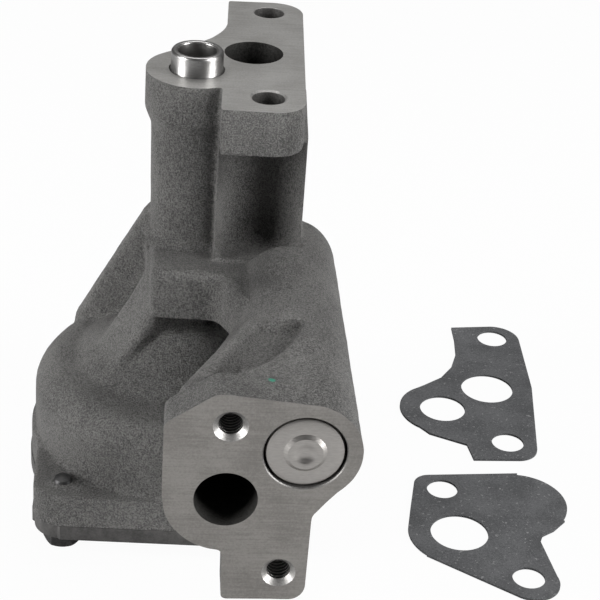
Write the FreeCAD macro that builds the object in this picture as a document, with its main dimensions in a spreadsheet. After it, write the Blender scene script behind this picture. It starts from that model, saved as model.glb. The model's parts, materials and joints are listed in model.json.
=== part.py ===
import FreeCAD, Part
import Sketcher
import math
import os
import re

# Engine oil pump with a gerotor set, in millimetres. The frame stands on the drive axis:
# the origin is on that axis at the engine mounting face, +Z points up into the engine,
# +Y runs along the line of the two mounting bolts and -Y looks out of the pickup port.

doc = FreeCAD.newDocument("EngineOilPump")
sheet = doc.addObject("Spreadsheet::Sheet", "Dims")

SIZES = [
    # engine mounting face and its holes
    ("bolt_hole_radius", 5.15),
    ("bolt_line", 22.8),
    ("near_bolt", 20.0),
    ("bolt_spacing", 73.8),
    ("bolt_land", 11.6),
    ("tab_left", 8.5),
    ("flange_thickness", 15.0),
    ("outlet_right", 17.9),
    ("outlet_back", 16.0),
    ("outlet_radius", 9.6),
    ("outlet_depth", 42.0),
    ("outlet_wall", 7.0),
    # drive tower
    ("pilot_radius", 8.33),
    ("pilot_height", 6.5),
    ("pilot_depth", 13.9),
    ("pilot_press", 0.19),
    ("shaft_bore", 6.225),
    ("collar_radius", 16.2),
    ("tower_radius", 14.1),
    ("tower_foot", 13.4),
    ("wrench_groove", 14.0),
    ("groove_floor", 57.5),
    ("ledge_drop", 58.0),
    ("ledge_height", 17.5),
    ("ledge_front", 29.3),
    ("ledge_left", 11.5),
    ("ledge_right", 36.0),
    # rotor housing
    ("can_side", 1.5),
    ("can_front", 17.0),
    ("can_radius", 48.0),
    ("can_top", 97.5),
    ("can_round", 10.0),
    ("split_drop", 131.9),
    ("rim_height", 10.9),
    ("rim_lip", 1.4),
    ("ear_radius", 9.5),
    ("ear_side", "=can_radius - 13"),
    ("ear_front", "=can_radius - 7.5"),
    ("front_rib", 18.6),
    ("front_rib_shift", 11.7),
    ("rear_rib", 10.5),
    # cover and its bolts
    ("cover_thickness", 5.1),
    ("cover_overhang", 0.4),
    ("bolt_radius", 3.1),
    ("bolt_reach", 17.4),
    ("bolt_point", 2.55),
    ("head_width", 11.1),
    ("head_height", 6.5),
    # pickup port face
    ("port_yaw", 2.6),
    ("port_reach", 116.0),
    ("port_plate", 12.0),
    ("inlet_side", 10.25),
    ("inlet_drop", 83.0),
    ("inlet_radius", 9.16),
    ("inlet_land", 17.9),
    ("inlet_length", 36.0),
    ("stud_side", 10.6),
    ("stud_drop", 58.2),
    ("stud_step_side", 16.2),
    ("stud_step_drop", 50.7),
    ("stud_radius", 3.45),
    ("stud_mouth", 5.0),
    ("stud_length", 12.0),
    # relief valve
    ("relief_side", 31.93),
    ("relief_drop", 66.8),
    ("relief_boss", 16.3),
    ("relief_boss_length", "=port_reach + 3"),
    ("cap_bore", 11.9),
    ("cap_seat", 9.5),
    ("plunger_radius", 9.5),
    ("plunger_length", 24.0),
    ("plunger_wall", 2.2),
    ("valve_seat", 72.0),
    ("spring_wire", 1.5),
    ("spring_radius", 5.9),
    ("spring_turns", 7),
    # rotor set
    ("shaft_radius", 6.17),
    ("shaft_top", 2.0),
    ("hex_width", 7.94),
    ("hex_depth", 22.0),
    ("rotor_height", 21.9),
    ("rotor_clearance", 0.06),
    ("kidney_depth", 3.5),
    ("eccentricity", 3.6),
    ("tooth_circle", 24.0),
    ("tooth_radius", 8.5),
    ("outer_radius", 27.0),
    ("pin_radius", 2.0),
    ("pin_length", 18.0),
    # gaskets
    ("gasket_thickness", 0.8),
    ("gasket_lobe", 16.0),
    ("gasket_bolt", 5.84),
    ("gasket_outlet", 9.83),
    ("gasket_pilot", 8.45),
    ("gasket_inlet", 9.77),
    ("gasket_stud", 5.37),
]
for row, (alias, value) in enumerate(SIZES, start=1):
    sheet.set(f"A{row}", alias)
    sheet.set(f"B{row}", str(value))
    sheet.setAlias(f"B{row}", alias)
doc.recompute()
NAMES = {alias for alias, _ in SIZES}


def size(text):
    """The value of a formula of sheet sizes, in plain numbers."""
    result = sheet.evalExpression(formula(text))
    return float(result.Value) if hasattr(result, "Value") else float(result)


def formula(text):
    """The same formula with every size written as a cell of the sheet."""
    return re.sub(r"[A-Za-z_]\w*", lambda m: "Dims." + m[0] if m[0] in NAMES else m[0], text)


def bind(thing, **places):
    for place, text in places.items():
        thing.setExpression(place.replace("_dot_", "."), formula(text))


def cylinder(name, radius, height, x="0", y="0", z="0"):
    """An upright cylinder that stands on the point x, y, z."""
    part = doc.addObject("Part::Cylinder", name)
    bind(part, Radius=radius, Height=height)
    bind(part, Placement_dot_Base_dot_x=x, Placement_dot_Base_dot_y=y, Placement_dot_Base_dot_z=z)
    return part


def drilling(name, radius, start, end):
    """A drilled passage between two points given in plain numbers."""
    part = doc.addObject("Part::Cylinder", name)
    bind(part, Radius=radius)
    part.Height = (end - start).Length
    part.Placement = FreeCAD.Placement(start, FreeCAD.Rotation(FreeCAD.Vector(0, 0, 1), end - start))
    return part


def fuse(name, parts):
    joined = doc.addObject("Part::MultiFuse", name)
    joined.Shapes = parts
    joined.Refine = True
    return joined


def cut(name, base, tools):
    result = doc.addObject("Part::Cut", name)
    result.Base = base
    result.Tool = fuse(name + "_tools", tools) if len(tools) > 1 else tools[0]
    result.Refine = True
    return result


def new_body(name):
    return doc.addObject("PartDesign::Body", name)


def sketch_on(body, plane, offset):
    """A sketch on one of the body's own planes. A port sketch lies on the yawed pickup face,
    at a depth below it, and has the face's own sideways and upward directions."""
    sketch = body.newObject("Sketcher::SketchObject", body.Name + "_sketch")
    role = "XY_Plane" if plane == "level" else "XZ_Plane"
    support = [item for item in body.Origin.OriginFeatures if item.Role == role][0]
    sketch.AttachmentSupport = (support, [""])
    sketch.MapMode = "FlatFace"
    turn = FreeCAD.Rotation(FreeCAD.Vector(0, 1, 0), 1 if plane == "port" else 0)
    sketch.AttachmentOffset = FreeCAD.Placement(FreeCAD.Vector(), turn)
    if plane == "port":
        bind(sketch, AttachmentOffset_dot_Rotation_dot_Angle="port_yaw",
             AttachmentOffset_dot_Base_dot_x=f"(port_reach - ({offset})) * sin(port_yaw)",
             AttachmentOffset_dot_Base_dot_z=f"(port_reach - ({offset})) * cos(port_yaw)")
    else:
        bind(sketch, AttachmentOffset_dot_Base_dot_z=offset)
    return sketch


def pin_point(sketch, index, corner, x, y):
    for kind, text in (("DistanceX", x), ("DistanceY", y)):
        rule = sketch.addConstraint(Sketcher.Constraint(kind, -1, 1, index, corner, size(text)))
        sketch.setExpression(f"Constraints[{rule}]", formula(text))


def draw_circle(sketch, x, y, radius):
    centre = FreeCAD.Vector(size(x), size(y), 0)
    index = sketch.addGeometry(Part.Circle(centre, FreeCAD.Vector(0, 0, 1), size(radius)), False)
    pin_point(sketch, index, 3, x, y)
    rule = sketch.addConstraint(Sketcher.Constraint("Radius", index, size(radius)))
    sketch.setExpression(f"Constraints[{rule}]", formula(radius))


def draw_outline(sketch, corners):
    """A closed outline through the corners, each pinned to its own two formulas."""
    points = [FreeCAD.Vector(size(corner[0]), size(corner[1]), 0) for corner in corners]
    count = len(points)
    for i in range(count):
        sketch.addGeometry(Part.LineSegment(points[i], points[(i + 1) % count]), False)
    for i in range(count):
        sketch.addConstraint(Sketcher.Constraint("Coincident", i, 2, (i + 1) % count, 1))
        pin_point(sketch, i, 1, corners[i][0], corners[i][1])


def draw(sketch, shape):
    if isinstance(shape, tuple):
        draw_circle(sketch, *shape)
    else:
        draw_outline(sketch, shape)


def round_edges(body, radius, wanted):
    """A fillet on the edges of the body's last feature that the test picks out."""
    doc.recompute()
    base = body.Tip
    names = [f"Edge{i}" for i, edge in enumerate(base.Shape.Edges, start=1) if wanted(edge)]
    if not names:
        raise RuntimeError(f"no edge to round on {body.Name}")
    fillet = body.newObject("PartDesign::Fillet", body.Name + "_fillet")
    fillet.Base = (base, names)
    bind(fillet, Radius=radius)
    return fillet


def pad(name, plane, shape, start, length, taper=None, body=None):
    """A plate or boss. A level pad grows up from its start height, and a port pad grows
    inwards from its start depth below the pickup face. Corners with a third value are rounded."""
    body = body or new_body(name)
    sketch = sketch_on(body, plane, start)
    draw(sketch, shape)
    feature = body.newObject("PartDesign::Pad", name + "_pad")
    feature.Profile = sketch
    feature.Reversed = plane != "level"
    bind(feature, Length=length)
    if taper:
        bind(feature, TaperAngle=taper)
    sketch.Visibility = False
    body.Tip = feature
    if isinstance(shape, list):
        doc.recompute()
        place = sketch.getGlobalPlacement()
        for radius in sorted({corner[2] for corner in shape if len(corner) == 3}):
            spots = [place.multVec(FreeCAD.Vector(size(c[0]), size(c[1]), 0))
                     for c in shape if len(c) == 3 and c[2] == radius]
            round_edges(body, radius, lambda edge: rises_from(edge, spots, place))
    return body


def rises_from(edge, spots, place):
    """True for an edge that leaves the sketch plane at one of the spots."""
    if len(edge.Vertexes) < 2:
        return False
    ends = [vertex.Point for vertex in edge.Vertexes]
    heights = [abs(place.inverse().multVec(point).z) for point in ends]
    if max(heights) < 0.01:
        return False
    return any((point - spot).Length < 0.01 for point in ends for spot in spots)


def circle_at(height, radius):
    """A test for a level round edge of one height and radius."""
    def test(edge):
        curve = edge.Curve
        return isinstance(curve, Part.Circle) and abs(curve.Center.z - height) < 0.01 \
            and abs(curve.Radius - radius) < 0.01
    return test


def level_edge(height):
    """A test for any edge that lies wholly at one height."""
    def test(edge):
        box = edge.BoundBox
        return abs(box.ZMin - height) < 0.01 and abs(box.ZMax - height) < 0.01
    return test


def turned(name, profile, x="0", y="0"):
    """A turned piece: a half profile of radius and height corners, spun on an upright axis."""
    body = new_body(name)
    sketch = sketch_on(body, "upright", "-(" + y + ")")
    bind(sketch, AttachmentOffset_dot_Base_dot_x=x)
    draw_outline(sketch, profile)
    feature = body.newObject("PartDesign::Revolution", name + "_turn")
    feature.Profile = sketch
    feature.ReferenceAxis = (sketch, ["V_Axis"])
    feature.Angle = 360
    sketch.Visibility = False
    body.Tip = feature
    return body


def turned_in_port(name, profile):
    """A turned piece on the relief valve's axis: its profile is given by radius and depth,
    it is spun on an upright axis and then laid down into the bore."""
    body = turned(name, profile)
    body.Placement = relief_placement()
    return body


def port_point(side, drop, depth):
    """A point of the port side, given by its place on the pickup face and its depth."""
    yaw = math.radians(size("port_yaw"))
    reach = size(f"port_reach - ({depth})")
    across = size(side)
    return FreeCAD.Vector(across * math.cos(yaw) + reach * math.sin(yaw),
                          across * math.sin(yaw) - reach * math.cos(yaw), -size(drop))


def relief_placement():
    mouth = port_point("relief_side", "relief_drop", "0")
    inward = port_point("relief_side", "relief_drop", "10") - mouth
    return FreeCAD.Placement(mouth, FreeCAD.Rotation(FreeCAD.Vector(0, 0, 1), inward))


def finish(part, label):
    part.Label = label
    NODES.append(part)
    return part


NODES = []

# Outlines of the engine face and the pickup face. Each corner is x, y and, where it is
# rounded, a radius.
TOP_OUTLINE = [
    ("tab_left", "-near_bolt - bolt_land"),
    ("bolt_line + bolt_land", "-near_bolt - bolt_land", "9"),
    ("bolt_line + bolt_land", "bolt_spacing - near_bolt + bolt_land - 1.2", "10"),
    ("bolt_line - bolt_land - 2.4", "bolt_spacing - near_bolt + bolt_land - 2.4"),
    ("bolt_line - bolt_land - 2.4", "outlet_back + outlet_radius + 5.9", "28"),
    ("-0.58 * collar_radius", "0.81 * collar_radius"),
    ("0", "0"),
    ("tab_left", "0"),
]
PORT_OUTLINE = [
    ("inlet_side - inlet_land - 0.2", "-inlet_drop"),
    ("inlet_side - inlet_land - 0.2", "-stud_drop + 0.6", "3"),
    ("stud_side - 3.9", "-stud_drop + 10.8", "5"),
    ("relief_side - 4", "-relief_drop + relief_boss + 0.6"),
    ("relief_side + 4", "-relief_drop + relief_boss - 0.6"),
    ("relief_side", "-relief_drop"),
    ("relief_side + 14.8", "-relief_drop - 6.7"),
    ("stud_side + stud_step_side + 8.4", "-relief_drop - 21.6", "2.5"),
    ("stud_side + stud_step_side + 8.1", "-stud_drop - stud_step_drop - 9.9", "5"),
    ("stud_side + stud_step_side - 16.5", "-stud_drop - stud_step_drop - 9.9", "1.5"),
    ("stud_side + stud_step_side - 17", "-inlet_drop - inlet_land + 1", "4"),
    ("inlet_side - 12", "-inlet_drop - 12.6"),
]


def hull_outline(rim, ear, lower):
    """The outline round the rotor housing's rim and its four bolt ears."""
    left, right = f"-can_side - ear_side - {ear}", f"-can_side + ear_side + {ear}"
    front, back = f"-can_front - ear_front - {ear}", f"-can_front + ear_front + {ear}"
    return [
        ("-can_side - ear_side", front), ("-can_side + ear_side", front),
        (right, "-can_front - ear_front"), (f"-can_side + {rim}", f"-can_front - {lower}"),
        (f"-can_side + {rim}", f"-can_front + {lower}"), (right, "-can_front + ear_front"),
        ("-can_side + ear_side", back), ("-can_side - ear_side", back),
        (left, "-can_front + ear_front"), (f"-can_side - {rim}", f"-can_front + {lower}"),
        (f"-can_side - {rim}", f"-can_front - {lower}"), (left, "-can_front - ear_front"),
    ]


EARS = {
    "front_left": ("-can_side - ear_side", "-can_front - ear_front"),
    "front_right": ("-can_side + ear_side", "-can_front - ear_front"),
    "rear_left": ("-can_side - ear_side", "-can_front + ear_front"),
    "rear_right": ("-can_side + ear_side", "-can_front + ear_front"),
}


def rim_plate(name, base, height, rim, ear):
    """A plate of the housing's rim outline: the round rim, four ears and the straight runs."""
    plates = [
        pad(name + "_hull", "level", hull_outline(rim, ear, "8"), base, height),
        cylinder(name + "_disc", rim, height, "-can_side", "-can_front", base),
    ]
    for ear_name, (x, y) in EARS.items():
        plates.append(cylinder(f"{name}_{ear_name}", ear, height, x, y, base))
    return fuse(name, plates)


# Pump body: one grey iron casting. The mounting flange stands on the drive tower and the
# outlet tower, these stand on a ledge over the rotor housing, and the arm with the relief
# valve boss carries the pickup port face.
flange = pad("top_flange", "level", TOP_OUTLINE, "-flange_thickness", "flange_thickness")
flange_lobe = cylinder("flange_lobe", "collar_radius", "flange_thickness - 2",
                       z="-flange_thickness + 2")
tower = turned("drive_tower", [
    ("0", "0"), ("collar_radius", "0"), ("collar_radius", "-flange_thickness + 2"),
    ("tower_radius", "-flange_thickness - 3"), ("tower_foot", "-ledge_drop + 2"),
    ("tower_foot + 3", "-ledge_drop - 1"), ("0", "-ledge_drop - 1"),
])
outlet_tower = pad("outlet_tower", "level", [
    ("tab_left - 0.4", "-near_bolt"),
    ("bolt_line + bolt_land + 1.8", "-near_bolt"),
    ("bolt_line + bolt_land + 1.8", "outlet_back + outlet_radius + outlet_wall", "9"),
    ("outlet_right - outlet_radius - outlet_wall + 4", "outlet_back + outlet_radius + outlet_wall", "9"),
    ("-0.5 * tower_radius", "0.5 * tower_radius"),
    ("0", "0"),
    ("tab_left - 0.4", "0"),
], "-ledge_drop - 2", "ledge_drop + 2 - flange_thickness + 0.5")
ledge = pad("ledge", "level", [
    ("-ledge_left", "-ledge_front", "4"),
    ("tab_left + 1.5", "-ledge_front", "6"),
    ("tab_left + 11.5", "-ledge_front - 19"),
    ("ledge_right - 3", "-ledge_front - 19"),
    ("ledge_right", "-3"),
    ("ledge_right", "outlet_back + outlet_radius + outlet_wall + 1", "9"),
    ("outlet_right - outlet_radius - outlet_wall + 2", "outlet_back + outlet_radius + outlet_wall + 1", "9"),
    ("-ledge_left - 2", "10", "5"),
], "-ledge_drop - ledge_height", "ledge_height")
round_edges(ledge, "2.5", level_edge(-size("ledge_drop")))
neck = pad("neck", "level", [
    ("-ledge_left - 2", "-ledge_front + 11", "5"),
    ("tab_left + 4", "-ledge_front + 11", "5"),
    ("ledge_right - 2", "0", "5"),
    ("ledge_right - 2", "outlet_back + outlet_radius + 3", "9"),
    ("outlet_right - outlet_radius - 4", "outlet_back + outlet_radius + 3", "9"),
    ("-ledge_left - 4", "12", "5"),
], "-can_top - 6", "can_top + 6 - ledge_drop - 4")
shoulder = turned("shoulder", [
    ("0", "-can_top - 8"), ("0.86 * can_radius", "-can_top - 8"),
    ("0.86 * can_radius", "-can_top - 3.5"), ("0.68 * can_radius", "-can_top + 0.6"),
    ("0.5 * can_radius", "-can_top + 6"), ("0.3 * can_radius", "-can_top + 15"), ("0", "-can_top + 15"),
], "-can_side - 1", "-can_front + 5")
can = turned("rotor_can", [
    ("0", "-split_drop"), ("can_radius", "-split_drop"), ("can_radius", "-can_top"), ("0", "-can_top"),
], "-can_side", "-can_front")
round_edges(can, "can_round", circle_at(-size("can_top"), size("can_radius")))
rim = rim_plate("body_rim", "-split_drop", "rim_height", "can_radius + rim_lip", "ear_radius")


def rib(name, angle, shift, thickness, softness, crest):
    """An upright web from the tower out to the housing's shoulder. It runs at one angle and may
    be shifted sideways off the axis, and its crest goes through the given corners."""
    body = new_body(name)
    sketch = sketch_on(body, "upright", f"-({shift}) * cos({angle})")
    turn = FreeCAD.Rotation(FreeCAD.Vector(0, 1, 0), angle)
    sketch.AttachmentOffset = FreeCAD.Placement(FreeCAD.Vector(), turn)
    bind(sketch, AttachmentOffset_dot_Base_dot_x=f"-({shift}) * sin({angle})")
    draw_outline(sketch, crest)
    feature = body.newObject("PartDesign::Pad", name + "_pad")
    feature.Profile = sketch
    feature.SideType = "Symmetric"
    bind(feature, Length=thickness)
    sketch.Visibility = False
    body.Tip = feature
    doc.recompute()
    place = sketch.getGlobalPlacement()
    corners = [place.multVec(FreeCAD.Vector(size(x), size(y), 0)) for x, y in crest[1:-2]]
    slopes = [(end - start).normalize() for start, end in zip(corners, corners[1:])]

    def on_crest(edge):
        if len(edge.Vertexes) < 2:
            return False
        run = edge.Vertexes[-1].Point - edge.Vertexes[0].Point
        return run.Length > 5 and any(abs(abs(run.normalize().dot(way)) - 1) < 1e-4 for way in slopes)
    round_edges(body, softness, on_crest)
    return body


front_rib = rib("front_rib", 204, "front_rib_shift", "front_rib", "3", [
    ("2", "-ledge_drop - 1"), ("13", "-ledge_drop - 1"), ("22.4", "-ledge_drop - 18.5"),
    ("can_radius - 9.6", "-can_top - 1.5"), ("can_radius - 9.6", "-can_top - 12"), ("2", "-can_top - 12"),
])
rear_rib = rib("rear_rib", 160, "0", "rear_rib", "3.8", [
    ("2", "-ledge_drop + 8"), ("tower_foot + 2.5", "-ledge_drop + 6.5"), ("40.5", "-can_top"),
    ("40.5", "-can_top - 12"), ("2", "-can_top - 12"),
])

# The pickup side of the casting
port_plate = pad("port_plate", "port", PORT_OUTLINE, "0", "port_plate")
inlet_lobe = pad("inlet_lobe", "port", ("inlet_side", "-inlet_drop", "inlet_land"), "0", "port_plate")
relief_boss = pad("relief_boss", "port", ("relief_side", "-relief_drop", "relief_boss"),
                  "0", "relief_boss_length")
boss_end = port_point("relief_side", "relief_drop", "relief_boss_length")
round_edges(relief_boss, "0.5 * relief_boss", lambda edge: edge.BoundBox.Center.distanceToPoint(boss_end) < 0.5)


def loft(name, near_depth, near, far_depth, far):
    """A tapered block between two outlines at two depths below the pickup face."""
    body = new_body(name)
    sketches = []
    for depth, outline in ((near_depth, near), (far_depth, far)):
        sketch = sketch_on(body, "port", depth)
        draw_outline(sketch, outline)
        sketch.Visibility = False
        sketches.append(sketch)
    feature = body.newObject("PartDesign::AdditiveLoft", name + "_loft")
    feature.Profile = sketches[0]
    feature.Sections = [sketches[1]]
    feature.Ruled = True
    body.Tip = feature
    return body


arm = loft("arm", "port_plate - 2", [
    ("inlet_side - inlet_land + 1.6", "-inlet_drop"),
    ("inlet_side - inlet_land + 1.6", "-stud_drop - 1"),
    ("stud_side - 2.6", "-stud_drop + 8.7"),
    ("relief_side - 1", "-stud_drop + 7.7"),
    ("relief_side + 4", "-inlet_drop - 13"),
    ("inlet_side - 9", "-inlet_drop - 13"),
], "port_reach - 28", [
    ("relief_side - 18", "-inlet_drop - 6"),
    ("relief_side - 15", "-inlet_drop + 8"),
    ("relief_side - 11", "-inlet_drop + 16"),
    ("relief_side - 1", "-inlet_drop + 18"),
    ("relief_side + 3", "-can_top - 8"),
    ("relief_side - 20", "-can_top - 8"),
])


def level_on_arm(name, outline, start, length):
    """A level plate over the arm: its corners are given by side and by depth below the port."""
    body = pad(name, "level", [(side, f"{depth} - port_reach") for side, depth in outline], start, length)
    body.Placement.Rotation = FreeCAD.Rotation(FreeCAD.Vector(0, 0, 1), size("port_yaw"))
    return body


front_shelf = level_on_arm("front_shelf", [
    ("3.4", "port_plate - 1.5"), ("20.5", "46"), ("relief_side - 1", "46"), ("relief_side - 1", "port_plate - 1.5"),
], "-stud_drop - 6", "13.9")
scoop_rail = drilling("scoop_rail", "4.6", port_point("stud_side - 10.6", "stud_drop - 1.6", "port_plate - 1"),
                      port_point("relief_side - 12.4", "stud_drop - 1", "port_plate + 38"))
feed_end = FreeCAD.Vector(size("-can_side + 10"), size("-can_front - 32"), -size("can_top + 16"))
feed_start = port_point("inlet_side", "inlet_drop", "inlet_length - 5")
feed_wall = drilling("feed_wall", "inlet_radius + 4.6", feed_start, feed_end)

casting = fuse("casting", [
    flange, flange_lobe, tower, outlet_tower, ledge, neck, shoulder, can, rim, front_rib, rear_rib,
    port_plate, inlet_lobe, relief_boss, arm, front_shelf, scoop_rail, feed_wall,
])

# Cuts in the casting: bolt room, passages, bores and threads
wrench_round = pad("wrench_round", "level", ("bolt_line", "-near_bolt", "wrench_groove"),
                   "-groove_floor", "groove_floor - flange_thickness")
round_edges(wrench_round, "6", circle_at(-size("groove_floor"), size("wrench_groove")))
wrench_side = doc.addObject("Part::Box", "wrench_side")
bind(wrench_side, Length="2 * wrench_groove", Width="wrench_groove", Height="groove_floor",
     Placement_dot_Base_dot_x="bolt_line - wrench_groove", Placement_dot_Base_dot_y="-near_bolt - 0.3",
     Placement_dot_Base_dot_z="-groove_floor")
wrench_room = doc.addObject("Part::MultiCommon", "wrench_room")
wrench_room.Shapes = [wrench_round, wrench_side]
scoop = level_on_arm("scoop", [
    ("3", "port_plate + 0.3"), ("12.9", "17"), ("22", "23"), ("28.2", "32"), ("31.6", "40"), ("33", "47"),
    ("20.5", "48"),
], "-stud_drop + 2.7", "14")
round_edges(scoop, "3", level_edge(-size("stud_drop - 2.7")))
bolt_near = cylinder("near_bolt_hole", "bolt_hole_radius", "flange_thickness + 2",
                     "bolt_line", "-near_bolt", "-flange_thickness - 1")
bolt_far = cylinder("far_bolt_hole", "bolt_hole_radius", "flange_thickness + 2",
                    "bolt_line", "bolt_spacing - near_bolt", "-flange_thickness - 1")
outlet_bore = cylinder("outlet_bore", "outlet_radius", "outlet_depth + 1",
                       "outlet_right", "outlet_back", "-outlet_depth")
outlet = cylinder("outlet_passage", "outlet_radius - 0.6",
                  "split_drop - rotor_height - 0.5 * kidney_depth + 1.05 - outlet_depth",
                  "outlet_right", "outlet_back", "-split_drop + rotor_height + 0.5 * kidney_depth - 0.05")
pilot_seat = cylinder("pilot_seat", "pilot_radius + pilot_press + 0.02", "pilot_depth + 1.1",
                      z="-pilot_depth - 0.1")
pilot_relief = cylinder("pilot_relief", "pilot_radius + 0.6", "1.6", z="-0.6")
shaft_way = cylinder("shaft_way", "shaft_bore", "split_drop", z="-split_drop")
chamber = cylinder("rotor_chamber", "outer_radius + rotor_clearance", "rotor_height + 1",
                   "0", "-eccentricity", "-split_drop - 1")
gallery = cylinder("inlet_gallery", "inlet_radius", "split_drop + 1 - can_top - 12",
                   "-can_side + 10", "-can_front - 31", "-split_drop - 1")


def kidney(name, side):
    """A half ring cut in the chamber roof, where the rotor pockets fill or empty."""
    part = doc.addObject("Part::Feature", name)
    inner, outer = size("shaft_radius + 5"), size("tooth_circle - tooth_radius + 3")
    centre = FreeCAD.Vector(0, -size("0.5 * eccentricity"), -size("split_drop - rotor_height"))
    depth, web = size("kidney_depth"), size("shaft_radius")
    ring = Part.makeCylinder(outer, depth, centre).cut(Part.makeCylinder(inner, depth, centre))
    edge = FreeCAD.Vector(web if side > 0 else -web - outer, -2 * outer, centre.z)
    part.Shape = ring.common(Part.makeBox(outer, 4 * outer, depth, edge))
    return part


inlet_bore = pad("inlet_bore", "port", ("inlet_side", "-inlet_drop", "inlet_radius"), "-1", "inlet_length + 1")
feed = drilling("inlet_feed", "inlet_radius - 0.7", feed_start, feed_end)
cap_room = pad("cap_room", "port", ("relief_side", "-relief_drop", "cap_bore"), "-1", "cap_seat + 1")
valve_bore = pad("valve_bore", "port", ("relief_side", "-relief_drop", "plunger_radius + 0.04"),
                 "0", "valve_seat")
valve_feed = drilling("valve_feed", "0.55 * plunger_radius",
                      port_point("relief_side", "relief_drop", "valve_seat - 4"),
                      FreeCAD.Vector(size("outlet_right"), size("outlet_back"), -size("relief_drop + 1")))
valve_spill = drilling("valve_spill", "0.5 * plunger_radius",
                       port_point("relief_side", "relief_drop", "valve_seat - 7.5"), feed_end)
stud_holes = []
for spot, across, drop in (("upper", "stud_side", "stud_drop"),
                           ("lower", "stud_side + stud_step_side", "stud_drop + stud_step_drop")):
    stud_holes.append(pad(f"{spot}_stud_hole", "port", (across, f"-({drop})", "stud_radius"),
                          "-1", "stud_length + 1 + stud_mouth - stud_radius"))
    mouth = doc.addObject("Part::Cone", f"{spot}_stud_mouth")
    bind(mouth, Radius1="stud_mouth + 0.5", Radius2="stud_radius - 0.5", Height="stud_mouth - stud_radius + 1")
    at_face = port_point(across, drop, "-0.5")
    mouth.Placement = FreeCAD.Placement(at_face, relief_placement().Rotation)
    stud_holes.append(mouth)
ear_holes = [cylinder(f"{ear}_ear_hole", "bolt_radius + 0.05", "rim_height + 2", x, y, "-split_drop - 1")
             for ear, (x, y) in EARS.items()]
drilled_casting = cut("drilled_casting", casting, [
    wrench_room, scoop, bolt_near, bolt_far, pilot_seat, pilot_relief, cap_room, *stud_holes, *ear_holes,
])
bored_casting = cut("bored_casting", drilled_casting, [
    outlet_bore, outlet, shaft_way, chamber, gallery, kidney("outlet_kidney", 1), kidney("inlet_kidney", -1),
])
casting_cut = cut("pump_body", bored_casting, [inlet_bore, feed, valve_bore, valve_feed, valve_spill])
finish(casting_cut, "pump_body")

# Pilot sleeve: a ground steel ring pressed into the flange round the drive bore
finish(turned("pilot_sleeve_turned", [
    ("shaft_bore + 0.01", "-pilot_depth"), ("pilot_radius + pilot_press", "-pilot_depth"),
    ("pilot_radius + pilot_press", "0"), ("pilot_radius", "0"),
    ("pilot_radius", "pilot_height - 0.7"), ("pilot_radius - 0.5", "pilot_height"),
    ("shaft_bore + 0.4", "pilot_height"), ("shaft_bore + 0.01", "pilot_height - 0.4"),
]), "pilot_sleeve")

# Cover: an iron plate that closes the rotor chamber, with the inlet channel in its inner face
cover_plate = rim_plate("cover_plate", "-split_drop - cover_thickness", "cover_thickness",
                        "can_radius + rim_lip + cover_overhang", "ear_radius - cover_overhang")
channel = pad("cover_channel", "level", [
    ("-can_side + 10 + 7", "-can_front - 36", "3"), ("-can_side + 10 - 7", "-can_front - 36", "3"),
    ("-15", "-8", "3"), ("-9", "4", "3"), ("-8", "-10", "3"), ("-can_side + 16", "-can_front - 20", "3"),
], "-split_drop - 0.5 * cover_thickness", "0.5 * cover_thickness + 1")
cover_holes = [cylinder(f"{ear}_cover_hole", "bolt_radius + 0.25", "cover_thickness + 2",
                        x, y, "-split_drop - cover_thickness - 1") for ear, (x, y) in EARS.items()]
finish(cut("rotor_cover", cover_plate, [channel, *cover_holes]), "rotor_cover")

# Cover bolts: hexagon screws driven up through the cover into the ears, their points showing
COVER_FACE = "-split_drop - cover_thickness"
for ear, (x, y) in EARS.items():
    shank = turned(f"{ear}_shank", [
        ("0", COVER_FACE), ("bolt_radius", COVER_FACE), ("bolt_radius", f"{COVER_FACE} + bolt_reach - 1"),
        ("bolt_point", f"{COVER_FACE} + bolt_reach"), ("0", f"{COVER_FACE} + bolt_reach"),
    ], x, y)
    head = doc.addObject("Part::Prism", f"{ear}_hexagon")
    head.Polygon = 6
    bind(head, Circumradius="head_width / 2 / cos(30)", Height="head_height",
         Placement_dot_Base_dot_x=x, Placement_dot_Base_dot_y=y,
         Placement_dot_Base_dot_z=f"{COVER_FACE} - head_height")
    crown = turned(f"{ear}_crown", [
        ("0", f"{COVER_FACE} - head_height"), ("0.47 * head_width", f"{COVER_FACE} - head_height"),
        ("0.6 * head_width", f"{COVER_FACE} - head_height + 1"),
        ("0.6 * head_width", COVER_FACE), ("0", COVER_FACE),
    ], x, y)
    trimmed = doc.addObject("Part::MultiCommon", f"{ear}_head")
    trimmed.Shapes = [head, crown]
    finish(fuse(f"{ear}_screw", [shank, trimmed]), f"cover_bolt_{ear}")

# Drive shaft: the distributor's hexagon rod drops into its socket, a cross pin turns the rotor
shaft = turned("shaft_turned", [
    ("0", "-split_drop + 0.3"), ("shaft_radius - 0.6", "-split_drop + 0.3"),
    ("shaft_radius", "-split_drop + 0.9"), ("shaft_radius", "-shaft_top - 0.6"),
    ("shaft_radius - 0.6", "-shaft_top"), ("0", "-shaft_top"),
])
socket = doc.addObject("Part::Prism", "hex_socket")
socket.Polygon = 6
bind(socket, Circumradius="hex_width / 2 / cos(30)", Height="hex_depth + 1",
     Placement_dot_Base_dot_z="-shaft_top - hex_depth")
PIN_HEIGHT = "-split_drop + 0.6 * rotor_height"


def cross_bar(name, radius, length, lift=PIN_HEIGHT):
    """A level round bar that crosses the drive axis along X."""
    bar = doc.addObject("Part::Cylinder", name)
    bar.Placement.Rotation = FreeCAD.Rotation(FreeCAD.Vector(0, 1, 0), 90)
    bind(bar, Radius=radius, Height=length, Placement_dot_Base_dot_x=f"-0.5 * ({length})",
         Placement_dot_Base_dot_z=lift)
    return bar


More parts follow.
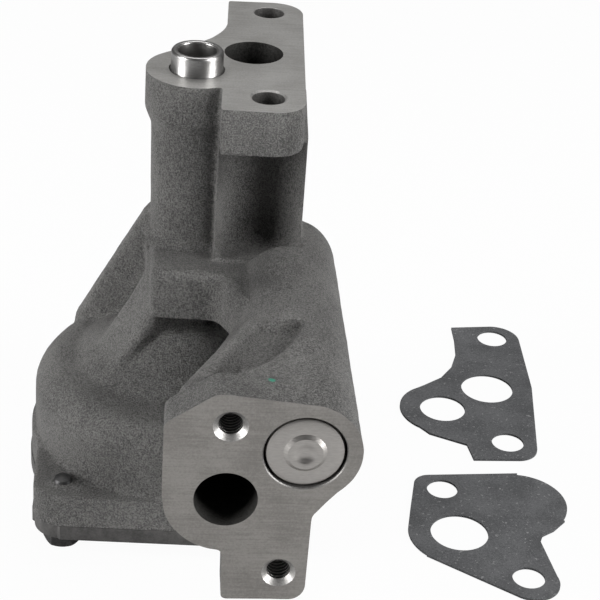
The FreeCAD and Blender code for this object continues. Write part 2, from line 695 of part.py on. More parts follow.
finish(cut("drive_shaft_cut", shaft, [socket, cross_bar("shaft_pin_hole", "pin_radius + 0.02", "30")]),
       "drive_shaft")
finish(cross_bar("rotor_pin", "pin_radius", "pin_length"), "rotor_drive_pin")


def inner_profile():
    """The closed inner rotor profile: the path of the outer rotor's teeth, set in by their radius.
    It is a chain of short straight runs, fine enough for the rotors' clearance."""
    throw, circle = size("eccentricity"), size("tooth_circle")
    inset = size("tooth_radius + rotor_clearance")
    spots = []
    for step in range(1440):
        turn = complex(math.cos(math.radians(step / 4)), math.sin(math.radians(step / 4)))
        path = circle * turn + throw * turn ** 5
        slope = (circle * turn + 5 * throw * turn ** 5) * 1j
        spot = path + inset * 1j * slope / abs(slope)
        if not spots or abs(spot - spots[-1]) > 0.1 * size("tooth_radius"):
            spots.append(spot)
    points = [FreeCAD.Vector(spot.real, spot.imag, 0) for spot in spots]
    return Part.makePolygon(points + points[:1])


# Inner rotor: four lobes, driven by the cross pin in its two open slots
inner = doc.addObject("Part::Feature", "inner_rotor_star")
star = Part.Face(inner_profile()).extrude(FreeCAD.Vector(0, 0, size("rotor_height - 0.1")))
star.translate(FreeCAD.Vector(0, 0, -size("split_drop - 0.05")))
inner.Shape = star
rotor_bore = cylinder("rotor_bore", "shaft_radius + 0.02", "rotor_height + 2", z="-split_drop - 1")
slot = doc.addObject("Part::Box", "pin_slot")
bind(slot, Length="pin_length + 0.4", Width="2 * pin_radius + 0.1", Height="rotor_height",
     Placement_dot_Base_dot_x="-0.5 * pin_length - 0.2", Placement_dot_Base_dot_y="-pin_radius - 0.05",
     Placement_dot_Base_dot_z=PIN_HEIGHT)
slot_foot = cross_bar("slot_foot", "pin_radius + 0.05", "pin_length + 0.4")
finish(cut("inner_rotor_cut", inner, [rotor_bore, slot, slot_foot]), "inner_rotor")

# Outer rotor: a ring with five round teeth, running on an axis set off towards the pickup port
ring = cylinder("outer_ring", "outer_radius", "rotor_height - 0.1", "0", "-eccentricity", "-split_drop + 0.05")
hollow = cylinder("outer_hollow", "tooth_circle - tooth_radius + 2 * eccentricity + rotor_clearance",
                  "rotor_height + 2", "0", "-eccentricity", "-split_drop - 1")
teeth = []
for number in range(5):
    turn = -90 / 5 + 72 * number
    teeth.append(cylinder(f"tooth_{number}", "tooth_radius", "rotor_height + 4",
                          f"tooth_circle * cos({turn})", f"tooth_circle * sin({turn}) - eccentricity",
                          "-split_drop - 2"))
pockets = cut("rotor_pockets", hollow, teeth)
finish(cut("outer_rotor_cut", ring, [pockets]), "outer_rotor")

# Relief valve: a cup plunger on a coil spring, held in by a pressed cap with a dimpled face
finish(turned_in_port("plunger", [
    ("0", "valve_seat - plunger_wall - 1.2"),
    ("plunger_radius - plunger_wall", "valve_seat - plunger_wall - 1.2"),
    ("plunger_radius - plunger_wall", "valve_seat - plunger_length"),
    ("plunger_radius - 0.4", "valve_seat - plunger_length"),
    ("plunger_radius", "valve_seat - plunger_length + 0.4"),
    ("plunger_radius", "valve_seat - 2.6"),
    ("plunger_radius - 2.4", "valve_seat - 0.2"), ("0", "valve_seat - 0.2"),
]), "relief_plunger")
finish(turned_in_port("cap", [
    ("0", "1.5"), ("1.6", "1.3"), ("3.6", "0.5"), ("5", "0.5"), ("6.2", "1.3"),
    ("cap_bore - 1.7", "1.3"), ("cap_bore - 0.9", "1.6"), ("cap_bore - 0.4", "2.5"),
    ("cap_bore - 0.02", "3.4"), ("cap_bore - 0.02", "cap_seat - 0.05"),
    ("cap_bore - 1.8", "cap_seat - 0.05"), ("cap_bore - 1.8", "3.4"), ("cap_bore - 2.4", "2.9"), ("0", "2.9"),
]), "relief_cap")
spring_start, spring_end = size("2.9 + 0.1"), size("valve_seat - plunger_wall - 1.3")
turns = int(round(size("spring_turns")))
pitch = (spring_end - spring_start - size("spring_wire")) / turns
lean = math.degrees(math.atan2(pitch / 4, size("spring_radius")))
coils = []
for number in range(2 * turns):
    coil = doc.addObject("Part::Torus", f"half_coil_{number}")
    coil.Angle3 = 180
    bind(coil, Radius2="0.5 * spring_wire")
    coil.Radius1 = math.hypot(size("spring_radius"), pitch / 4)
    coil.Placement = FreeCAD.Placement(
        FreeCAD.Vector(0, 0, spring_start + 0.5 * size("spring_wire") + (number + 0.5) * pitch / 2),
        FreeCAD.Rotation(FreeCAD.Vector(0, 0, 1), 180 * (number % 2)) *
        FreeCAD.Rotation(FreeCAD.Vector(0, 1, 0), lean))
    coils.append(coil)
spring = fuse("spring", coils)
spring.Refine = False
spring.Placement = relief_placement()
finish(spring, "relief_spring")


def gasket(name, bodies, holes, x, y, turn):
    """A fibre gasket, cut like the face it seals and laid flat beside the pump."""
    sheet_part = cut(name, fuse(name + "_blank", bodies), holes)
    ground = -size("split_drop + cover_thickness + head_height")
    sheet_part.Placement = FreeCAD.Placement(
        FreeCAD.Vector(x, y, ground), FreeCAD.Rotation(FreeCAD.Vector(0, 0, 1), turn))
    return finish(sheet_part, name)


# Gaskets, one for the engine face and one for the pickup face. Their outlines are a little
# larger and softer than the faces that they seal.
gasket("mounting_gasket", [
    pad("mounting_sheet", "level", [
        ("tab_left - 1.7", "near_bolt + 40.4"),
        ("bolt_line + bolt_land - 1.3", "near_bolt + 45.1", "10"),
        ("bolt_line + bolt_land + 1", "outlet_back + 2.6"),
        ("bolt_line + bolt_land - 1.4", "-near_bolt - 9.8", "8"),
        ("tab_left + 1.1", "-near_bolt - 12.1"),
        ("tab_left - 0.8", "-near_bolt - 2.9"),
        ("-5.6", "-17.2"), ("-9.3", "-12.9"), ("0", "0"), ("-9.5", "12.8"), ("-6.1", "15.6"),
        ("0.6", "21.7"), ("5", "29.7"), ("tab_left - 1.2", "near_bolt + 19.6"),
        ("tab_left - 1.1", "near_bolt + 31"),
    ], "0", "gasket_thickness"),
    cylinder("mounting_sheet_lobe", "gasket_lobe", "gasket_thickness"),
], [
    cylinder("gasket_near_hole", "gasket_bolt", "3", "bolt_line", "-near_bolt", "-1"),
    cylinder("gasket_far_hole", "gasket_bolt", "3", "bolt_line", "bolt_spacing - near_bolt", "-1"),
    cylinder("gasket_outlet_hole", "gasket_outlet", "3", "outlet_right", "outlet_back", "-1"),
    cylinder("gasket_pilot_hole", "gasket_pilot", "3", z="-1"),
], 95.99, 29.61, -1.76)
gasket("inlet_gasket", [
    pad("inlet_sheet", "level", [
        ("stud_side - 7.6", "-stud_drop + 9", "6"), ("relief_side + 7.9", "-stud_drop + 6.8"),
        ("relief_side + 3.6", "-relief_drop - 1.7"), ("relief_side + 16.5", "-relief_drop - 13.3"),
        ("relief_side + 11", "-relief_drop - 18.1"), ("relief_side + 6.3", "-relief_drop - 20.5"),
        ("relief_side + 4.6", "-relief_drop - 23.6"), ("relief_side + 4.6", "-relief_drop - 42.2"),
        ("relief_side - 4.6", "-relief_drop - 43.7"), ("relief_side - 10.9", "-relief_drop - 50.5"),
        ("inlet_side - 14", "-inlet_drop - 10.8"), ("inlet_side", "-inlet_drop"),
        ("inlet_side - 16.3", "-inlet_drop + 5.9"), ("inlet_side - 13.1", "-inlet_drop + 16"),
    ], "0", "gasket_thickness"),
    cylinder("inlet_sheet_lobe", "inlet_land - 0.6", "gasket_thickness", "inlet_side", "-inlet_drop"),
    cylinder("inlet_sheet_boss", "relief_boss + 0.3", "gasket_thickness",
             "relief_side + 3.6", "-relief_drop - 1.7"),
    cylinder("inlet_sheet_tab", "9.3", "gasket_thickness", "relief_side - 4.6", "-relief_drop - 43.7"),
], [
    cylinder("gasket_upper_hole", "gasket_stud", "3", "stud_side", "-stud_drop", "-1"),
    cylinder("gasket_lower_hole", "gasket_stud", "3", "stud_side + stud_step_side",
             "-stud_drop - stud_step_drop", "-1"),
    cylinder("gasket_inlet_hole", "gasket_inlet", "3", "inlet_side", "-inlet_drop", "-1"),
], 71.41, 33.71, 9.56)

doc.recompute()
for item in doc.Objects:
    if "Invalid" in item.State or "Error" in item.State:
        raise RuntimeError(f"{item.Name} failed: {item.State}")
for node in NODES:
    if node.Shape.isNull() or not node.Shape.isValid() or not node.Shape.Solids:
        raise RuntimeError(f"{node.Label} has no valid solid")
if casting_cut.Shape.Volume >= 0.95 * casting.Shape.Volume:
    raise RuntimeError("the bores were not cut")

os.makedirs("parts", exist_ok=True)
for node in NODES:
    node.Shape.exportStep(f"parts/{node.Label}.step")
    box = node.Shape.BoundBox
    print(f"{node.Label}: {len(node.Shape.Solids)} solid, {node.Shape.Volume:.0f} mm3, "
          f"x {box.XMin:.1f} {box.XMax:.1f} y {box.YMin:.1f} {box.YMax:.1f} z {box.ZMin:.1f} {box.ZMax:.1f}")
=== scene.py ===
import json
import math
import bpy
from mathutils import Matrix, Vector

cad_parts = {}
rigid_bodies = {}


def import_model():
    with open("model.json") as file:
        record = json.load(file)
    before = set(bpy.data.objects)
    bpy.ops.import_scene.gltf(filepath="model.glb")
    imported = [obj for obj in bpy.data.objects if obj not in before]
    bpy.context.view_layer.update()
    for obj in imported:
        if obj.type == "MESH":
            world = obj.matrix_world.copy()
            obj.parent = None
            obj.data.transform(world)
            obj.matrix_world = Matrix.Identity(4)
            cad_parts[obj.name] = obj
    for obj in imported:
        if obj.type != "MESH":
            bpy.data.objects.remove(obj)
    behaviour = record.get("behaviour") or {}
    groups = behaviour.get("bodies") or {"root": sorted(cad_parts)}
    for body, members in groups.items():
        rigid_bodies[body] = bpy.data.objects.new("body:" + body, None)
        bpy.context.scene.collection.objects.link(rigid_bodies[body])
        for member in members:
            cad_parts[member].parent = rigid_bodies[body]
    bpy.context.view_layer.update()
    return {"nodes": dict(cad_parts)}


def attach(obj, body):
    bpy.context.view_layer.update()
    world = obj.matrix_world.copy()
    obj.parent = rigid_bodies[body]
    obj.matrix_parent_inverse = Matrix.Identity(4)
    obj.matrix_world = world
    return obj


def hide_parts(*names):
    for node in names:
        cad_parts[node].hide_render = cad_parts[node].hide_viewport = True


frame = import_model()
bpy.ops.object.select_all(action="DESELECT")
for leftover in list(bpy.data.objects):
    if leftover.type in {"LIGHT", "CAMERA"} or leftover.name == "Cube":
        bpy.data.objects.remove(leftover)

# Camera and view: the pump is seen from the pickup side and a little from above,
# with the lens rolled slightly, so its towers lean to the left of the picture.
eye = Vector((0.011660, -0.518325, 0.212256))
lift, roll, turn = math.radians(29.587), math.radians(4.35), math.radians(2.926)
focal_pixels, picture_pixels = 1749.67, 600
forward = Vector((0, math.cos(lift), -math.sin(lift)))
across = Vector((1, 0, 0))
upward = across.cross(forward)
rolled_across = math.cos(roll) * across + math.sin(roll) * upward
rolled_up = math.cos(roll) * upward - math.sin(roll) * across
axes = Matrix((rolled_across, rolled_up, -forward)).transposed()
axes = Matrix.Rotation(-turn, 3, "Z") @ axes
bpy.ops.object.camera_add()
camera = bpy.context.object
camera.name = "camera"
camera.matrix_world = Matrix.Translation(eye) @ axes.to_4x4()
camera.data.sensor_width = 36
camera.data.lens = focal_pixels * 36 / picture_pixels
camera.data.clip_start = 0.01
bpy.context.scene.camera = camera
bpy.context.scene.view_settings.view_transform = "Standard"

# Pump body: one grey iron sand casting, rough outside with rounded corners. The engine face,
# the pickup face and the cover face are milled, and the holes are drilled and reamed.


class Wire:
    """One output of a material's node tree. Sums and products of wires add their own nodes."""

    def __init__(self, tree, socket):
        self.tree = tree
        self.socket = socket

    def node(self, kind, settings, inputs, output=0):
        """A new node of a kind, with its settings and the values or wires of its sockets."""
        made = self.tree.nodes.new(kind)
        for name, value in settings.items():
            setattr(made, name, value)
        for name, value in inputs.items():
            if isinstance(value, Wire):
                self.tree.links.new(value.socket, made.inputs[name])
            else:
                made.inputs[name].default_value = value
        return Wire(self.tree, made.outputs[output])

    def maths(self, operation, first, second=0.0):
        return self.node("ShaderNodeMath", {"operation": operation}, {0: first, 1: second})

    def __add__(self, other):
        return self.maths("ADD", self, other)

    __radd__ = __add__

    def __mul__(self, other):
        return self.maths("MULTIPLY", self, other)

    __rmul__ = __mul__

    def measure(self, operation, other):
        """A number worked out from this place and a fixed point or direction."""
        return self.node("ShaderNodeVectorMath", {"operation": operation}, {0: self, 1: other}, "Value")

    def above(self, low, high):
        """0 below low, 1 above high, and a smooth rise between."""
        return self.node("ShaderNodeMapRange", {"interpolation_type": "SMOOTHSTEP"},
                         {"Value": self, "From Min": low, "From Max": high})

    def blend(self, first, second):
        """The colour first where this wire is 0, and second where it is 1."""
        return self.node("ShaderNodeMix", {"data_type": "RGBA"}, {0: self, 6: first, 7: second}, 2)


def new_finish(name, **constants):
    """A new material, its shader with steady values, and a wire for the place on the surface."""
    finish = bpy.data.materials.new(name)
    finish.use_nodes = True
    shader = finish.node_tree.nodes["Principled BSDF"]
    for socket, value in constants.items():
        shader.inputs[socket.replace("_", " ")].default_value = value
    place = Wire(finish.node_tree, None).node("ShaderNodeTexCoord", {}, {}, "Object")
    return finish, shader, place


def grain(place, scale, detail=2.0, rough=0.5, stretch=None):
    """Noise of a size given in waves per metre, stretched along an axis where asked."""
    if stretch:
        place = place.node("ShaderNodeMapping", {}, {"Vector": place, "Scale": stretch})
    return place.node("ShaderNodeTexNoise", {}, {"Vector": place, "Scale": scale, "Detail": detail,
                                                 "Roughness": rough})


def connect(shader, **wires):
    """Links wires to the shader's sockets of the same names."""
    for socket, wire in wires.items():
        wire.tree.links.new(wire.socket, shader.inputs[socket.replace("_", " ")])


def bump(height, distance, strength=1.0):
    return height.node("ShaderNodeBump", {}, {"Height": height, "Distance": distance, "Strength": strength})


port_turn = math.radians(2.6)
port_reach = 116.0
port_out = Vector((math.sin(port_turn), -math.cos(port_turn), 0))
port_side = Vector((math.cos(port_turn), math.sin(port_turn), 0))


def port_point(side, height, depth):
    """A point of the pickup side, from its place on the face and its depth, in millimetres."""
    return (port_out * (port_reach - depth) + port_side * side + Vector((0, 0, height))) / 1000


def cast_iron():
    """Sand cast iron: a close sandy grain, cloudy patches and one small green paint dot."""
    finish, shader, place = new_finish("cast_iron", Metallic=0.35)
    sand = grain(place, 1900, 4.0, 0.7)
    lumps = grain(place, 500, 2.0, 0.5)
    patch = grain(place, 40, 3.0, 0.5)
    tone = sand * 0.7 + lumps * 0.12 + patch * 0.18
    colour = tone.above(0.38, 0.62).blend((0.034, 0.033, 0.032, 1), (0.160, 0.157, 0.151, 1))
    distance = place.measure("DISTANCE", port_point(21.7, -50.9, 10.4))
    colour = distance.above(0.0017, 0.0022).blend((0.03, 0.24, 0.16, 1), colour)
    connect(shader, Base_Color=colour, Roughness=0.46 + lumps * 0.2,
            Normal=bump(sand * 0.7 + lumps * 0.3, 0.0014))
    return finish


def milled_iron(name, dark, light, stretch=(1, 1, 1), rough=0.36):
    """Milled or bored iron: faint tool lines along the stretched axis and small dark stains."""
    finish, shader, place = new_finish(name, Metallic=0.7)
    lines = grain(place, 1800, 2.0, 0.6, stretch)
    bands = grain(place, 700, 3.0, 0.6, stretch)
    stain = grain(place, 60, 4.0, 0.65)
    speck = grain(place, 1500, 3.0, 0.7)
    tone = lines * 0.22 + bands * 0.1 + speck * 0.33 + stain * 0.35
    connect(shader, Base_Color=tone.above(0.36, 0.62).blend(dark, light), Roughness=rough + bands * 0.12,
            Normal=bump(lines * 0.6 + speck * 0.4, 0.00005, 0.5))
    return finish


def threaded_iron():
    """The wall of a tapped hole: its thread shows as fine turns along the hole's depth.
    Their dark and light bands are painted shade and highlight on the thread's flanks, over a bump.
    """
    finish, shader, place = new_finish("threaded_iron", Metallic=0.7, Roughness=0.32)
    pitch = 0.00141
    turns = place.maths("SINE", place.measure("DOT_PRODUCT", port_out) * (2 * math.pi / pitch))
    # Painted shade and highlight: the colour turns dark and light with the thread's wave, as on its flanks.
    colour = turns.above(-0.8, 0.8).blend((0.05, 0.048, 0.045, 1), (0.30, 0.29, 0.28, 1))
    connect(shader, Base_Color=colour, Normal=bump(turns, 0.0006))
    return finish


def bare_copy(node, name):
    """A copy of a CAD solid as one closed mesh at the same place, ready to be worked on."""
    made = bpy.data.objects.new(name, frame["nodes"][node].data.copy())
    bpy.context.scene.collection.objects.link(made)
    made.data.materials.clear()
    bpy.ops.object.select_all(action="DESELECT")
    made.select_set(True)
    bpy.context.view_layer.objects.active = made
    bpy.ops.object.mode_set(mode="EDIT")
    bpy.ops.mesh.select_all(action="SELECT")
    bpy.ops.mesh.customdata_custom_splitnormals_clear()
    bpy.ops.mesh.remove_doubles(threshold=0.000002)
    bpy.ops.object.mode_set(mode="OBJECT")
    return made


def pick(thing, wanted):
    """Goes to edit mode with only those faces selected for which the test is true."""
    bpy.ops.object.mode_set(mode="EDIT")
    bpy.ops.mesh.select_mode(type="FACE")
    bpy.ops.mesh.select_all(action="DESELECT")
    bpy.ops.object.mode_set(mode="OBJECT")
    for face in thing.data.polygons:
        face.select = wanted(face)
    bpy.ops.object.mode_set(mode="EDIT")


def modify(thing, kind, **settings):
    """Adds a modifier and applies it."""
    bpy.ops.object.select_all(action="DESELECT")
    thing.select_set(True)
    bpy.context.view_layer.objects.active = thing
    modifier = thing.modifiers.new(kind.lower(), kind)
    for name, value in settings.items():
        setattr(modifier, name, value)
    bpy.ops.object.modifier_apply(modifier=modifier.name)


def round_bar(start, end, radius, end_radius=None):
    """A round bar or cone between two points in metres, radii in millimetres."""
    run = end - start
    bpy.ops.mesh.primitive_cone_add(
        vertices=64, radius1=radius / 1000, depth=run.length,
        radius2=(radius if end_radius is None else end_radius) / 1000,
        location=(start + end) / 2, rotation=run.to_track_quat("Z", "Y").to_euler())
    made = bpy.context.object
    bpy.ops.object.transform_apply(location=True, rotation=True, scale=True)
    return made


def upright(x, y, low, high, radius, end_radius=None):
    """A bar square to the engine face, placed in millimetres from the drive bore's centre."""
    return round_bar(Vector((x, y, low)) / 1000, Vector((x, y, high)) / 1000, radius, end_radius)


def level(side, height, near, far, radius, end_radius=None):
    """A bar square to the pickup face, between two depths below it in millimetres."""
    return round_bar(port_point(side, height, near), port_point(side, height, far), radius, end_radius)


cover_depth = 131.9
bolt_holes = ((22.8, -20.0), (22.8, 53.8))
drive, rotor_chamber = (0, 0), (0, -3.6)
outlet, inlet_well = (17.9, 16.0), (8.5, -48)
ear_holes = ((-36.5, -57.5), (33.5, -57.5), (-36.5, 23.5), (33.5, 23.5))
pickup_port, relief_bore = (10.25, -83.0), (31.93, -66.8)
tapped_holes = ((10.6, -58.2), (26.8, -108.9))
# A bore has a direction, a place, two ends and a radius, and reaches past the face it opens in
past, below = 4, -135
bores = [
    *[(upright, *spot, -15.05, past, 5.15) for spot in bolt_holes],
    (upright, *outlet, -42, past, 9.6),
    (upright, *outlet, -108.3, -41, 9.0),
    (upright, *drive, -13.95, past, 8.54),
    (upright, *drive, below, past, 6.225),
    (upright, *rotor_chamber, below, -110, 27.06),
    (upright, *inlet_well, below, -111, 9.16),
    *[(upright, *spot, below, -120.5, 3.15) for spot in ear_holes],
    (level, *pickup_port, -past, 36, 9.16),
    (level, *relief_bore, -past, 9.5, 11.9),
    (level, *relief_bore, 5, 72, 9.54),
    *[(level, *spot, -past, 13.55, 3.45) for spot in tapped_holes],
]
on_face = 0.00002


def on_engine_face(face):
    return face.center.z > -on_face


def on_cover_face(face):
    return face.center.z < on_face - cover_depth / 1000


def on_pickup_face(face):
    return face.center.dot(port_out) > port_reach / 1000 - on_face


# The milled faces are drawn out and the bores plugged, so that the remesh rounds only the
# cast corners. The faces are then cut flat again and the bores drilled through.
draw_out = 0.003
plug_low, plug_high, plug_margin = -134, 2.9, 0.5
casting = bare_copy("pump_body", "casting")
for wanted, push in (
    (on_engine_face, Vector((0, 0, draw_out))),
    (on_cover_face, Vector((0, 0, -draw_out))),
    (on_pickup_face, port_out * draw_out),
):
    pick(casting, wanted)
    bpy.ops.mesh.extrude_region_move(TRANSFORM_OT_translate={"value": tuple(push)})
    bpy.ops.object.mode_set(mode="OBJECT")
plugs = []
for make, x, y, low, high, radius in bores:
    if make is upright:
        plugs.append(upright(x, y, max(low, plug_low), min(high, plug_high), radius + plug_margin))
    else:
        plugs.append(level(x, y, -plug_high, high, radius + plug_margin))
bpy.ops.object.select_all(action="DESELECT")
for thing in plugs + [casting]:
    thing.select_set(True)
bpy.context.view_layer.objects.active = casting
bpy.ops.object.join()
modify(casting, "REMESH", mode="VOXEL", voxel_size=0.00075)
modify(casting, "SMOOTH", factor=0.5, iterations=5)
modify(casting, "DECIMATE", ratio=0.42)
waves = bpy.data.textures.new("casting_waves", "CLOUDS")
waves.noise_scale = 0.007
modify(casting, "DISPLACE", texture=waves, texture_coords="LOCAL", strength=0.0004, mid_level=0.5)

block_size = 0.5
for centre, angle in (
    (Vector((0, 0, block_size / 2)), 0),
    (Vector((0, 0, -cover_depth / 1000 - block_size / 2)), 0),
    (port_out * (port_reach / 1000 + block_size / 2), port_turn),
):
    bpy.ops.mesh.primitive_cube_add(size=block_size, location=centre, rotation=(0, 0, angle))
    block = bpy.context.object
    modify(casting, "BOOLEAN", object=block, operation="DIFFERENCE", solver="MANIFOLD")
    bpy.data.objects.remove(block)
# Chamfers are cones: each has a place, two ends and a radius at each end
near_bolt, far_bolt = bolt_holes
chamfers = [
    upright(*near_bolt, -1.0, 0.5, 4.4, 6.5),
    upright(*far_bolt, -0.8, 0.5, 4.5, 6.0),
    upright(*drive, -0.6, 2, 8.93),
    *[level(*spot, -0.5, 2.05, 5.5, 2.95) for spot in tapped_holes],
    level(*relief_bore, -0.5, 0.5, 12.7, 11.7),
]
for cutter in [make(x, y, low, high, radius) for make, x, y, low, high, radius in bores] + chamfers:
    modify(casting, "BOOLEAN", object=cutter, operation="DIFFERENCE", solver="MANIFOLD")
    bpy.data.objects.remove(cutter)


def in_port_holes(face, spots, radius, deepest):
    """True where a face lies within the radius and depth of a hole in the pickup face."""
    depth = port_reach - face.center.dot(port_out) * 1000
    side, height = face.center.dot(port_side) * 1000, face.center.z * 1000
    return 0.001 < depth < deepest and any(math.hypot(side - u, height - v) < radius for u, v in spots)


def in_tapped_holes(face):
    return in_port_holes(face, tapped_holes, 5.2, 14)


def in_bolt_holes(face):
    x, y, z = face.center * 1000
    return z > -15.1 and any(math.hypot(x - u, y - v) < 6.6 for u, v in bolt_holes)


def in_outlet(face):
    x, y, z = face.center * 1000
    return z > -108 and math.hypot(x - outlet[0], y - outlet[1]) < 9.7 and abs(face.normal.z) < 0.9


engine_face = milled_iron("milled_engine_face", (0.21, 0.205, 0.195, 1), (0.31, 0.305, 0.295, 1),
                          stretch=(0.03, 1, 1))
pickup_face = milled_iron("milled_pickup_face", (0.18, 0.171, 0.161, 1), (0.27, 0.259, 0.244, 1),
                          stretch=(0.02, 1, 1))
bored = milled_iron("bored_iron", (0.07, 0.068, 0.065, 1), (0.17, 0.165, 0.16, 1))
chamfered = milled_iron("chamfered_iron", (0.20, 0.196, 0.19, 1), (0.36, 0.352, 0.34, 1), rough=0.3)
threaded = threaded_iron()
# The deep pickup port and the outlet bore get a near-black bored finish: painted shade inside these deep
# holes.
deep_bore_shade = milled_iron("painted_shade_bore", (0.012, 0.012, 0.011, 1), (0.06, 0.058, 0.055, 1), rough=0.5)
finishes = [cast_iron(), engine_face, pickup_face, bored, chamfered, threaded, deep_bore_shade]
casting.data.materials.clear()
for finish in finishes:
    casting.data.materials.append(finish)
for finish, wanted in (
    (engine_face, lambda face: on_engine_face(face) and face.normal.z > 0.9),
    (pickup_face, on_pickup_face),
    (bored, lambda face: in_bolt_holes(face) and abs(face.normal.z) < 0.3),
    (bored, lambda face: in_port_holes(face, [relief_bore], 12.7, 10)),
    # Painted shade: the near-black finish goes on the walls of the pickup port and the outlet bore.
    (deep_bore_shade, lambda face: in_port_holes(face, [pickup_port], 9.3, 36)),
    (deep_bore_shade, in_outlet),
    (chamfered, lambda face: in_bolt_holes(face) and 0.3 < face.normal.z < 0.9),
    (chamfered, lambda face: in_tapped_holes(face) and face.normal.dot(port_out) > 0.3),
    (threaded, lambda face: in_tapped_holes(face) and abs(face.normal.dot(port_out)) < 0.3),
    (bored, on_cover_face),
):
    pick(casting, wanted)
    casting.active_material_index = finishes.index(finish)
    bpy.ops.object.material_slot_assign()
    bpy.ops.object.mode_set(mode="OBJECT")
smooth_below = math.radians(32)
bpy.ops.object.shade_smooth_by_angle(angle=smooth_below)
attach(casting, "pump")
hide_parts("pump_body")

# Cover and its four bolts: a flat iron plate with softened edges closes the rotor chamber.
# Dark hexagon screws hold it from below, and their points come through the body's ears.


def dark_steel(name, dark, light, metallic, rough):
    """Steel or iron with a mottled dark skin."""
    finish, shader, place = new_finish(name, Metallic=metallic)
    mottle = grain(place, 260, 4.0, 0.6)
    fine = grain(place, 1800, 2.0, 0.5)
    colour = (mottle * 0.7 + fine * 0.3).above(0.3, 0.7).blend(dark, light)
    connect(shader, Base_Color=colour, Roughness=rough + mottle * 0.2,
            Normal=bump(fine * 0.6 + mottle * 0.4, 0.0003, 0.5))
    return finish


def dressed(node, name, finish, edge=0.0, body="pump"):
    """A closed copy of a CAD solid with softened edges and its own finish."""
    made = bare_copy(node, name)
    if edge:
        modify(made, "BEVEL", width=edge, segments=2, limit_method="ANGLE", angle_limit=math.radians(35))
    made.data.materials.append(finish)
    bpy.ops.object.shade_smooth_by_angle(angle=smooth_below)
    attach(made, body)
    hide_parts(node)
    return made


plate = dark_steel("cover_plate", (0.040, 0.039, 0.038, 1), (0.085, 0.082, 0.080, 1), 0.4, 0.42)
dressed("rotor_cover", "cover", plate, 0.0004)
screw = dark_steel("dark_screw", (0.012, 0.012, 0.013, 1), (0.045, 0.044, 0.043, 1), 0.5, 0.35)
for corner in ("front_left", "front_right", "rear_left", "rear_right"):
    dressed("cover_bolt_" + corner, "screw_" + corner, screw, 0.0003)

# Pilot sleeve: a short steel tube, turned and ground bright. It is pressed into the engine
# face round the drive bore and stands out of it, to centre the pump on the engine.


def ground_steel(name, tone, rough):
    """Bright steel with fine rings from the grinding wheel."""
    finish, shader, place = new_finish(name, Metallic=1.0)
    lines = grain(place, 500, 3.0, 0.6, (1, 1, 6))
    lighter = tuple(min(1, part * 1.18) for part in tone[:3]) + (1,)
    connect(shader, Base_Color=lines.above(0.3, 0.7).blend(tone, lighter), Roughness=rough + lines * 0.12,
            Normal=bump(lines, 0.00005, 0.4))
    return finish


bright = ground_steel("ground_sleeve", (0.30, 0.295, 0.29, 1), 0.24)
dressed("pilot_sleeve", "sleeve", bright, 0.00015)

# Relief valve cap: a cup pressed from sheet steel, with a domed dimple and a rolled edge,
# driven into the valve bore. It stands a little further out than its solid, so that the
# edge of the bore doesn't hide its rim.
cap_step = 0.0008
pressed = ground_steel("pressed_cap", (0.36, 0.345, 0.33, 1), 0.26)
valve_cap = dressed("relief_cap", "valve_cap", pressed)
valve_cap.data.transform(Matrix.Translation(port_out * cap_step))

# Rotor set, shaft and relief valve, all inside the body: sintered rotors, and a hardened
# shaft, drive pin and plunger, ground smooth. The valve's spring is coiled from round wire.
hardened = ground_steel("hardened_shaft", (0.34, 0.335, 0.33, 1), 0.25)
for node, body in (("drive_shaft", "drive"), ("rotor_drive_pin", "drive"), ("relief_plunger", "valve")):
    dressed(node, "steel_" + node, hardened, 0, body)
sintered = dark_steel("sintered_rotor", (0.16, 0.158, 0.155, 1), (0.26, 0.255, 0.25, 1), 0.85, 0.3)
dressed("inner_rotor", "star_rotor", sintered, 0.0002, "drive")
dressed("outer_rotor", "ring_rotor", sintered, 0.0002, "outer")
wire = dark_steel("spring_wire", (0.10, 0.10, 0.10, 1), (0.20, 0.20, 0.20, 1), 0.8, 0.3)
dressed("relief_spring", "valve_spring", wire)

# Gaskets: two flat shapes stamped from charcoal fibre sheet, with pale fibres in the
# surface. They belong on the two milled faces and lie loose beside the pump.


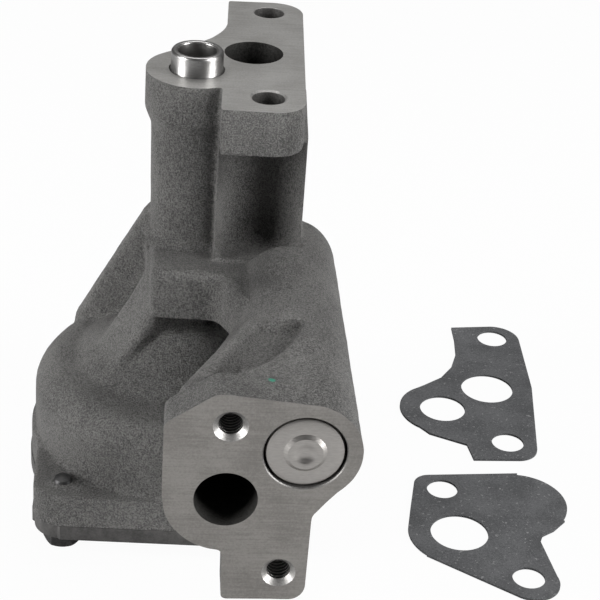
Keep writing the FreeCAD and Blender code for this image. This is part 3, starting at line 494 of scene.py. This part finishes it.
def fibre_sheet():
    """Charcoal fibre sheet: a close dark speckle with a few pale fibres."""
    finish, shader, place = new_finish("gasket_fibre")
    speck = grain(place, 1400, 3.0, 0.7)
    cloud = grain(place, 90, 3.0, 0.5)
    dark, light = (0.030, 0.031, 0.033, 1), (0.062, 0.063, 0.066, 1)
    colour = (speck * 0.6 + cloud * 0.4).above(0.38, 0.62).blend(dark, light)
    pale = grain(place, 900, 2.0, 0.6).above(0.63, 0.72)
    colour = pale.blend(colour, (0.13, 0.13, 0.132, 1))
    connect(shader, Base_Color=colour, Roughness=0.6 + speck * 0.2, Normal=bump(speck, 0.00012, 0.5))
    return finish


fibre = fibre_sheet()
dressed("mounting_gasket", "engine_gasket", fibre)
dressed("inlet_gasket", "pickup_gasket", fibre)

# Floor and light: a pale table under the bolt heads, and three soft lamps. The camera sees
# the table and the room as white, while the light that they throw on the pump stays low.
floor_height = -0.1436
table_share, room_light = 0.96, 0.12
table, shader, _ = new_finish("pale_table", Roughness=0.9, Base_Color=(0.42, 0.42, 0.42, 1),
                              Specular_IOR_Level=0.1)
lit = Wire(table.node_tree, shader.outputs[0])
seen = lit.node("ShaderNodeLightPath", {}, {}, "Is Camera Ray")
white = lit.node("ShaderNodeEmission", {}, {"Color": (1, 1, 1, 1), "Strength": 1.0})
mixed = lit.node("ShaderNodeMixShader", {}, {0: seen * table_share, 1: lit, 2: white})
connect(table.node_tree.nodes["Material Output"], Surface=mixed)
bpy.ops.mesh.primitive_plane_add(size=4, location=(0.03, 0, floor_height))
floor = bpy.context.object
floor.name = "floor"
floor.data.materials.append(table)

room = bpy.data.worlds.new("studio")
bpy.context.scene.world = room
room.use_nodes = True
backdrop = room.node_tree.nodes["Background"]
backdrop.inputs["Color"].default_value = (1, 1, 1, 1)
seen = Wire(room.node_tree, None).node("ShaderNodeLightPath", {}, {}, "Is Camera Ray")
connect(backdrop, Strength=seen * (1 - room_light) + room_light)


def softbox(name, place, aim, width, height, power):
    """A large soft lamp that faces its aim."""
    bpy.ops.object.light_add(type="AREA", location=place)
    lamp = bpy.context.object
    lamp.name = name
    lamp.data.shape = "RECTANGLE"
    lamp.data.size = width
    lamp.data.size_y = height
    lamp.data.energy = power
    lamp.rotation_euler = (Vector(aim) - Vector(place)).to_track_quat("-Z", "Y").to_euler()


softbox("left_softbox", (-0.80, -0.36, 0.16), (0, -0.03, -0.06), 0.35, 0.8, 16)
softbox("right_softbox", (0.86, -0.32, 0.25), (0, -0.03, -0.06), 0.4, 0.9, 17)
softbox("top_softbox", (0.0, 0.45, 1.0), (0, -0.03, -0.05), 0.9, 0.7, 10.5)
